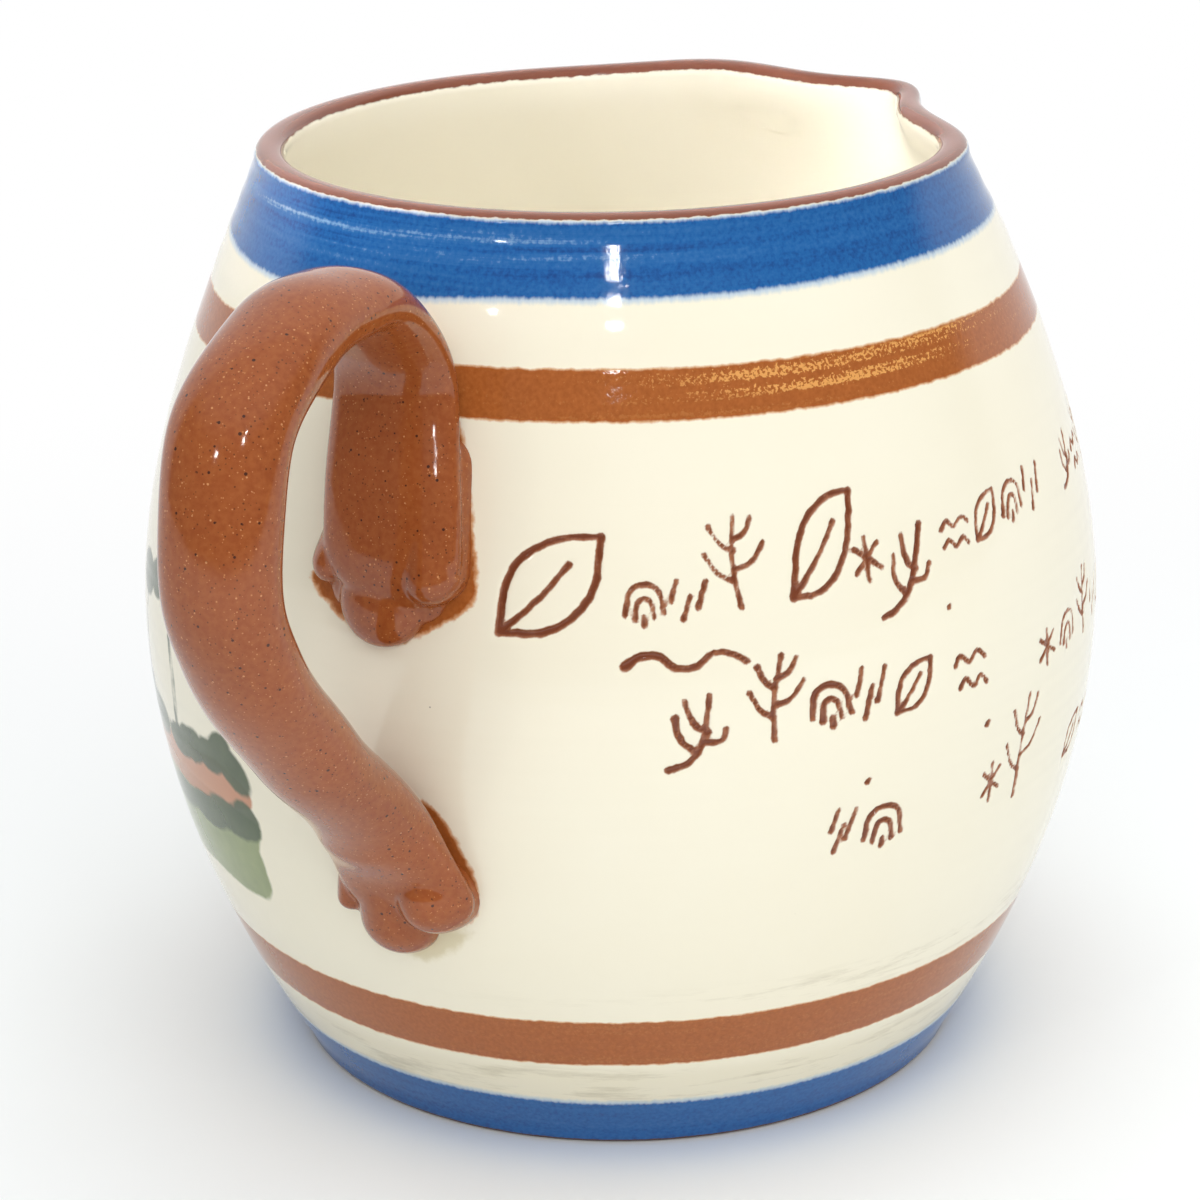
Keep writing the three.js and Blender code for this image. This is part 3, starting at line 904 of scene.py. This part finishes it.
def grimy_cream(tree, place, cloud, fields):
    """Cream slip in faint clouds, with painted light that makes it paler inside. The wall is toned darker
    towards the foot over its whole width, and grime lies low on it in thin level smears and in a line of
    smears over the lower brown band."""
    cream = {0: cloud, 6: paint(CREAM[0]), 7: paint(CREAM[1])}
    cream = add(tree, "ShaderNodeMix", cream, data_type="RGBA").outputs[2]
    # Painted light: inside the mouth the cream turns paler.
    cream = {0: fields["inside"], 6: cream, 7: paint(INSIDE_CREAM_PAINTED_LIGHT)}
    cream = add(tree, "ShaderNodeMix", cream, data_type="RGBA").outputs[2]
    height = add(tree, "ShaderNodeSeparateXYZ", {0: place}).outputs["Z"]
    low = {0: fields["inside"], 1: 0.05, 2: height}
    low = add(tree, "ShaderNodeMath", low, operation="MULTIPLY_ADD").outputs[0]
    # Below about 13 mm the wall is toned darker towards the foot, all round.
    low = {0: low, 1: 0.0135, 2: 0.0105, 3: 0.0, 4: 0.8}
    low = add(tree, "ShaderNodeMapRange", low, interpolation_type="SMOOTHSTEP").outputs[0]
    dirty = add(tree, "ShaderNodeMath", {0: fields["grimy"], 1: low}, operation="MAXIMUM").outputs[0]
    smears = add(tree, "ShaderNodeMapping", {0: place, "Scale": (70.0, 70.0, 560.0)}).outputs[0]
    smears = {0: smears, "Scale": 1.0, "Detail": 6.0, "Roughness": 0.7}
    smears = add(tree, "ShaderNodeTexNoise", smears).outputs[0]
    smears = {0: smears, 1: 0.5, 2: 0.68, 3: 0.0, 4: 0.8}
    smears = add(tree, "ShaderNodeMapRange", smears).outputs[0]
    smears = add(tree, "ShaderNodeMath", {0: smears, 1: dirty}, operation="MULTIPLY").outputs[0]
    toned = add(tree, "ShaderNodeMath", {0: low, 1: 0.7}, operation="MULTIPLY").outputs[0]
    cream = {0: toned, 6: cream, 7: paint(LOW_TONE_AND_GRIME[0])}
    cream = add(tree, "ShaderNodeMix", cream, data_type="RGBA").outputs[2]
    cream = {0: smears, 6: cream, 7: paint(LOW_TONE_AND_GRIME[1])}
    return add(tree, "ShaderNodeMix", cream, data_type="RGBA").outputs[2]


def brushed_cobalt(tree, brush, grain, streaked):
    """Cobalt slip in level brush streaks, palest where it was drawn on thin, with a fine grain."""
    streaky = {0: streaked, 1: 1.2, 2: 0.25}
    streaky = add(tree, "ShaderNodeMath", streaky, operation="MULTIPLY_ADD").outputs[0]
    off_grain = add(tree, "ShaderNodeMath", {0: grain, 1: -0.5}, operation="ADD").outputs[0]
    thin = {0: streaked, 1: 0.12, 2: 0.5}
    thin = add(tree, "ShaderNodeMath", thin, operation="MULTIPLY_ADD").outputs[0]
    thin = {0: brush, 1: streaky, 2: thin}
    thin = add(tree, "ShaderNodeMath", thin, operation="MULTIPLY_ADD").outputs[0]
    thin = {0: off_grain, 1: 0.4, 2: thin}
    thin = add(tree, "ShaderNodeMath", thin, operation="MULTIPLY_ADD").outputs[0]
    cobalt = add(tree, "ShaderNodeValToRGB", {0: thin})
    stops = cobalt.color_ramp.elements
    for count, (at, colour) in enumerate(zip((0.36, 0.52, 0.66, 0.86), COBALT)):
        stop = stops[count] if count < 2 else stops.new(at)
        stop.position = at
        stop.color = paint(colour)
    return cobalt.outputs[0]


def wiped_flecks(tree, place, brush, on_band, worn):
    """The share of pale clay in flecks of 0.3 mm, where the upper brown band was wiped thin: they
    stand where the brush left least, and crowd in the worn stretch."""
    fleck = {0: place, "Scale": 3000.0, "Detail": 2.0, "Roughness": 0.6}
    fleck = add(tree, "ShaderNodeTexNoise", fleck).outputs[0]
    fleck = {0: brush, 1: 1.1, 2: fleck}
    fleck = add(tree, "ShaderNodeMath", fleck, operation="MULTIPLY_ADD").outputs[0]
    fleck = {0: worn, 1: 0.18, 2: fleck}
    fleck = add(tree, "ShaderNodeMath", fleck, operation="MULTIPLY_ADD").outputs[0]
    fleck = add(tree, "ShaderNodeMapRange", {0: fleck, 1: 0.66, 2: 0.74, 3: 0.0, 4: 0.9}).outputs[0]
    rubbed = add(tree, "ShaderNodeMapRange", {0: worn, 1: 0.0, 2: 0.5, 3: 0.12, 4: 1.0}).outputs[0]
    fleck = add(tree, "ShaderNodeMath", {0: fleck, 1: rubbed}, operation="MULTIPLY").outputs[0]
    return add(tree, "ShaderNodeMath", {0: fleck, 1: on_band}, operation="MULTIPLY").outputs[0]


def glaze_relief(tree, cloud, runs, grit, scratch):
    """Small relief, one bump on another: clouds and runs of the glaze, grit in the bare clay, and
    the sharp lip of each scratch. Each reaches this many metres at this strength."""
    lip = {0: scratch, 1: 0.12, 2: -0.22, 3: 1.0, 4: 0.0}
    lip = add(tree, "ShaderNodeMapRange", lip, interpolation_type="SMOOTHSTEP").outputs[0]
    relief = add(tree, "ShaderNodeBump", {"Height": cloud, "Distance": 0.00012, "Strength": 0.5})
    for shape, reach, strength in ((runs, 0.000012, 0.5), (grit, 0.00003, 0.5), (lip, 0.00022, 0.9)):
        bump = {"Height": shape, "Distance": reach, "Strength": strength, "Normal": relief.outputs[0]}
        relief = add(tree, "ShaderNodeBump", bump)
    return relief.outputs[0]


def specked(tree, place, ground, scale, sizes, softness, speck, strength):
    """Round specks over the ground, one at the heart of some cells of 1 / scale metres. Sizes are
    the chance that a cell has none and the greatest radius, as a share of the cell."""
    cells = add(tree, "ShaderNodeTexVoronoi", {0: place, "Scale": scale})
    chance = add(tree, "ShaderNodeSeparateColor", {0: cells.outputs["Color"]}).outputs[0]
    size = {0: chance, 1: sizes[0], 2: 1.0, 3: 0.0, 4: sizes[1]}
    size = add(tree, "ShaderNodeMapRange", size).outputs[0]
    near = {0: size, 1: cells.outputs["Distance"]}
    near = add(tree, "ShaderNodeMath", near, operation="SUBTRACT").outputs[0]
    near = {0: near, 1: 0.0, 2: softness, 3: 0.0, 4: strength}
    near = add(tree, "ShaderNodeMapRange", near).outputs[0]
    colour = {0: near, 6: ground, 7: paint(speck)}
    return add(tree, "ShaderNodeMix", colour, data_type="RGBA").outputs[2]


def slip_glazed_earthenware():
    """Thrown red earthenware, banded and dipped in coloured slips, scratched through to the clay and glazed
    clear. The eye sees warm cream, toned darker towards the foot, with low grime and with painted light that
    makes it paler inside; brushed cobalt, ragged bare-clay bands and marks, and one wet gloss over all of it."""
    material, tree = empty_material("slip_glazed_earthenware")
    place = add(tree, "ShaderNodeTexCoord").outputs["Object"]
    names = ("scratch", "bush", "low_bush", "path", "grass", "stem", "smear", "olive", "blue", "brown")
    names += ("rim", "bare", "worn", "streaked", "grimy", "inside")
    fields = {
        name: add(tree, "ShaderNodeAttribute", attribute_name=name).outputs["Fac"] for name in names
    }

    # Patterns at their real sizes: clouds 25 mm, mottle 3 mm, grain 0.5 mm
    cloud = add(tree, "ShaderNodeTexNoise", {0: place, "Scale": 40.0, "Detail": 4.0}).outputs[0]
    mottle = add(tree, "ShaderNodeTexNoise", {0: place, "Scale": 330.0, "Detail": 4.0}).outputs[0]
    grain = add(tree, "ShaderNodeTexNoise", {0: place, "Scale": 2100.0, "Detail": 2.0}).outputs[0]
    # Brushed streaks run level, 0.9 mm high and 38 mm long, about a mean of 0
    level = add(tree, "ShaderNodeMapping", {0: place, "Scale": (26.0, 26.0, 1100.0)}).outputs[0]
    brush = add(tree, "ShaderNodeTexNoise", {0: level, "Scale": 1.0, "Detail": 4.0}).outputs[0]
    brush = add(tree, "ShaderNodeMath", {0: brush, 1: -0.5}, operation="ADD").outputs[0]
    # The glaze runs down, 0.5 mm wide and 3 mm long
    upright = add(tree, "ShaderNodeMapping", {0: place, "Scale": (1900.0, 1900.0, 330.0)}).outputs[0]
    runs = add(tree, "ShaderNodeTexNoise", {0: upright, "Scale": 1.0, "Detail": 2.0}).outputs[0]

    edges = ragged_edges(tree, place, runs, fields)
    cobalt = brushed_cobalt(tree, brush, grain, fields["streaked"])
    clay = {0: grain, 6: paint(CLAY[0]), 7: paint(CLAY[1])}
    clay = add(tree, "ShaderNodeMix", clay, data_type="RGBA").outputs[2]
    dabs = {0: mottle, 6: paint(BUSH_GREEN[0]), 7: paint(BUSH_GREEN[1])}
    dabs = add(tree, "ShaderNodeMix", dabs, data_type="RGBA").outputs[2]
    meadow = {0: mottle, 6: paint(GRASS_GREEN[0]), 7: paint(GRASS_GREEN[1])}
    meadow = add(tree, "ShaderNodeMix", meadow, data_type="RGBA").outputs[2]
    layers = (
        (edges["grass"], 0.0, 0.3, meadow, 0.9),
        (edges["path"], 0.0, 0.25, paint(PATH_BROWN), 0.9),
        (edges["stem"], 0.0, 0.2, paint(STEM_GREEN), 0.9),
        (edges["low_bush"], 0.0, 0.3, dabs, 0.97),
        (edges["bush"], 0.0, 0.3, dabs, 0.97),
        (edges["olive"], 0.1, 0.7, paint(OLIVE), 0.55),
        (edges["smear"], 0.3, 0.2, paint(CLAY_SMEAR), 0.8),
        (edges["smear"], 0.0, 0.2, clay, 1.0),
        (edges["blue"], 0.4, 0.35, paint(THIN_COBALT), 0.75),
        (edges["blue"], -0.05, 0.25, cobalt, 1.0),
        (edges["brown"], 0.14, 0.12, paint(THIN_CLAY), 0.75),
        (edges["brown"], -0.02, 0.1, clay, 1.0),
        (edges["scratch"], 0.08, 0.1, paint(SCRATCHED_CLAY[0]), 0.95),
        (edges["scratch"], -0.08, 0.12, paint(SCRATCHED_CLAY[1]), 0.9),
        (edges["rim"], 0.13, 0.06, paint(RIM_LINE), 0.85),
        (edges["rim"], 0.0, 0.08, paint(RIM_CLAY), 1.0),
        (edges["bare"], 0.0, 0.15, paint(FOOT_CLAY), 1.0),
    )
    colour = laid_over(tree, grimy_cream(tree, place, cloud, fields), layers)

    on_band = {0: fields["brown"], 1: 0.0, 2: -0.3, 3: 0.0, 4: 1.0}
    on_band = add(tree, "ShaderNodeMapRange", on_band).outputs[0]
    wiped = wiped_flecks(tree, place, brush, on_band, fields["worn"])
    colour = {0: wiped, 6: colour, 7: paint(WIPED_CLAY)}
    colour = add(tree, "ShaderNodeMix", colour, data_type="RGBA").outputs[2]
    colour = specked(tree, place, colour, 170.0, (0.3, 0.03), 0.012, IRON, 0.7)

    grit = add(tree, "ShaderNodeMath", {0: grain, 1: on_band}, operation="MULTIPLY").outputs[0]
    relief = glaze_relief(tree, cloud, runs, grit, edges["scratch"])
    gloss = add(tree, "ShaderNodeMapRange", {0: cloud, 1: 0.3, 2: 0.7, 3: 0.04, 4: 0.07}).outputs[0]
    dry = add(tree, "ShaderNodeMapRange", {0: edges["bare"], 1: 0.1, 2: -0.2, 3: 0.0, 4: 0.6}).outputs[0]
    gloss = add(tree, "ShaderNodeMath", {0: gloss, 1: dry}, operation="ADD").outputs[0]
    glaze = {"Base Color": colour, "Roughness": gloss, "IOR": GLAZE_IOR, "Normal": relief}
    glaze = add(tree, "ShaderNodeBsdfPrincipled", glaze)
    add(tree, "ShaderNodeOutputMaterial", {0: glaze.outputs[0]})
    return material


def glazed_red_clay():
    """A pulled strap of red earthenware under the same clear glaze. The eye sees deep
    orange-brown, thick with dark iron and pale grit specks, and a wet gloss."""
    material, tree = empty_material("glazed_red_clay")
    place = add(tree, "ShaderNodeTexCoord").outputs["Object"]
    # Clouds of 17 mm and a grain of 0.7 mm
    cloud = add(tree, "ShaderNodeTexNoise", {0: place, "Scale": 60.0, "Detail": 3.0}).outputs[0]
    grain = add(tree, "ShaderNodeTexNoise", {0: place, "Scale": 1500.0, "Detail": 3.0}).outputs[0]
    colour = {0: cloud, 6: paint(STRAP_CLAY[0]), 7: paint(STRAP_CLAY[1])}
    colour = add(tree, "ShaderNodeMix", colour, data_type="RGBA").outputs[2]
    fine = add(tree, "ShaderNodeMapRange", {0: grain, 1: 0.35, 2: 0.7, 3: 0.0, 4: 0.35}).outputs[0]
    colour = {0: fine, 6: colour, 7: paint(STRAP_CLAY[2])}
    colour = add(tree, "ShaderNodeMix", colour, data_type="RGBA").outputs[2]
    for scale, reach, speck, strength, shift in STRAP_SPECKS:
        moved = add(tree, "ShaderNodeMapping", {0: place, "Location": (shift, shift, shift)}).outputs[0]
        colour = specked(tree, moved, colour, scale, (0.1, reach), 0.03, speck, strength)
    skin = add(tree, "ShaderNodeBump", {"Height": cloud, "Distance": 0.0001, "Strength": 0.5}).outputs[0]
    skin = {"Height": grain, "Distance": 0.00001, "Strength": 0.5, "Normal": skin}
    skin = add(tree, "ShaderNodeBump", skin).outputs[0]
    glaze = {"Base Color": colour, "Roughness": 0.08, "IOR": GLAZE_IOR, "Normal": skin}
    glaze = add(tree, "ShaderNodeBsdfPrincipled", glaze)
    add(tree, "ShaderNodeOutputMaterial", {0: glaze.outputs[0]})
    return material


# The studio


def paper_floor():
    """A sheet of matt white paper that fades into the white behind it, away from the jug, and in front of the
    picture darkens to a painted shade of the dim room."""
    cells = 60
    side = np.linspace(-1.5, 1.5, cells + 1) / MM
    x, y = np.meshgrid(side, side, indexing="ij")
    points = np.stack([x, y, 0 * x], -1).reshape(-1, 3)
    i, j = np.meshgrid(np.arange(cells), np.arange(cells), indexing="ij")
    corner = i * (cells + 1) + j
    quads = np.stack([corner, corner + cells + 1, corner + cells + 2, corner + 1], -1).reshape(-1, 4)
    floor = surface("floor", points, quads)
    material, tree = empty_material("paper_with_painted_shade")
    place = add(tree, "ShaderNodeTexCoord").outputs["Object"]
    away = add(tree, "ShaderNodeVectorMath", {0: place, 1: AWAY}, operation="DOT_PRODUCT").outputs["Value"]
    fade = {0: away, 1: PAPER_END[0], 2: PAPER_END[1], 3: 0.0, 4: 1.0}
    fade = add(tree, "ShaderNodeMapRange", fade, interpolation_type="SMOOTHSTEP").outputs[0]
    # In front, the paper's colour darkens to a painted shade of the dim room.
    shade = {0: away, 1: ROOM_END[0], 2: ROOM_END[1], 3: 0.0, 4: 1.0}
    shade = add(tree, "ShaderNodeMapRange", shade, interpolation_type="SMOOTHSTEP").outputs[0]
    tone = {0: shade, 6: paint(PAPER_AND_PAINTED_SHADE[0]), 7: paint(PAPER_AND_PAINTED_SHADE[1])}
    tone = add(tree, "ShaderNodeMix", tone, data_type="RGBA").outputs[2]
    paper = add(tree, "ShaderNodeBsdfPrincipled", {"Base Color": tone, "Roughness": 0.75})
    light = add(tree, "ShaderNodeEmission", {0: (1.0, 1.0, 1.0, 1.0), 1: 1.0})
    mixed = add(tree, "ShaderNodeMixShader", {0: fade, 1: paper.outputs[0], 2: light.outputs[0]})
    add(tree, "ShaderNodeOutputMaterial", {0: mixed.outputs[0]})
    floor.data.materials.append(material)
    return floor


def lamp(name, turn, elevation, distance, size, power, spread=180.0, aim=JUG_MIDDLE, glints=False):
    """A square area light aimed at a height on the jug's axis, placed by its turn from +X and its
    elevation. Without glints it doesn't show in the glaze. A small spread narrows its beam."""
    data = bpy.data.lights.new(name, "AREA")
    data.size = size
    data.energy = power
    data.spread = math.radians(spread)
    level = math.cos(math.radians(elevation))
    turn = math.radians(turn)
    way = Vector((level * math.cos(turn), level * math.sin(turn), math.sin(math.radians(elevation))))
    light = bpy.data.objects.new(name, data)
    light.location = Vector((0.0, 0.0, aim)) + way * distance
    light.rotation_euler = (-way).to_track_quat("-Z", "Y").to_euler()
    light.visible_glossy = glints
    bpy.context.scene.collection.objects.link(light)
    return light


def studio():
    """A white backdrop all round the back, a dim room before the jug and a paler ceiling, broad
    soft lights, two narrow ones into the mouth, and small bright lamps for the sharp glints."""
    world = bpy.data.worlds.new("white_backdrop")
    bpy.context.scene.world = world
    world.use_nodes = True
    tree = world.node_tree
    tree.nodes.clear()
    way = add(tree, "ShaderNodeTexCoord").outputs["Generated"]
    back = add(tree, "ShaderNodeVectorMath", {0: way, 1: AWAY}, operation="DOT_PRODUCT").outputs["Value"]
    back = {0: back, 1: BACKDROP_START[0], 2: BACKDROP_START[1], 3: 0.0, 4: 1.0}
    back = add(tree, "ShaderNodeMapRange", back, interpolation_type="SMOOTHSTEP").outputs[0]
    up = add(tree, "ShaderNodeSeparateXYZ", {0: way}).outputs["Z"]
    ceiling = {0: up, 1: 0.45, 2: 0.8, 3: ROOM_LIGHT, 4: CEILING_LIGHT}
    ceiling = add(tree, "ShaderNodeMapRange", ceiling, interpolation_type="SMOOTHSTEP").outputs[0]
    strength = add(tree, "ShaderNodeMix", {0: back, 2: ceiling, 3: 1.0}).outputs[0]
    background = add(tree, "ShaderNodeBackground", {0: (1.0, 1.0, 1.0, 1.0), 1: strength})
    add(tree, "ShaderNodeOutputWorld", {0: background.outputs[0]})
    for soft in SOFT_LAMPS:
        lamp(*soft)
    for narrow in MOUTH_LAMPS:
        lamp(*narrow, aim=MOUTH_HEIGHT)
    for bright in GLINT_LAMPS:
        lamp(*bright, glints=True)


def camera():
    """The photograph's view: a long lens, a little above the rim, rolled by a degree."""
    data = bpy.data.cameras.new("camera")
    data.lens = CAMERA_LENS
    data.sensor_width = 36.0
    view = bpy.data.objects.new("camera", data)
    place = Vector(CAMERA_PLACE)
    level = (Vector(CAMERA_AIM) - place).to_track_quat("-Z", "Y").to_matrix().to_4x4()
    view.matrix_world = Matrix.Translation(place) @ level @ Matrix.Rotation(CAMERA_ROLL, 4, "Z")
    bpy.context.scene.collection.objects.link(view)
    bpy.context.scene.camera = view


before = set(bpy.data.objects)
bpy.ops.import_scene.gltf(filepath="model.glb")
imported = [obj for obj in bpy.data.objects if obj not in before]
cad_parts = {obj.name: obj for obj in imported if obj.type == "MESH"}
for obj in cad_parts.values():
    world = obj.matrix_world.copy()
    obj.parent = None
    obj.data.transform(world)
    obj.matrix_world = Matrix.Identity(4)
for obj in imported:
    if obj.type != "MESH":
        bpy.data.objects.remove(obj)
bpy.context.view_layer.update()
body = thrown_body()
handle = pulled_handle()
body.data.materials.append(slip_glazed_earthenware())
handle.data.materials.append(glazed_red_clay())
for piece in (body, handle):
    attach(piece, "root")
    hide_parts("jug")
paper_floor()
studio()
camera()
bpy.context.scene.view_settings.view_transform = "Standard"
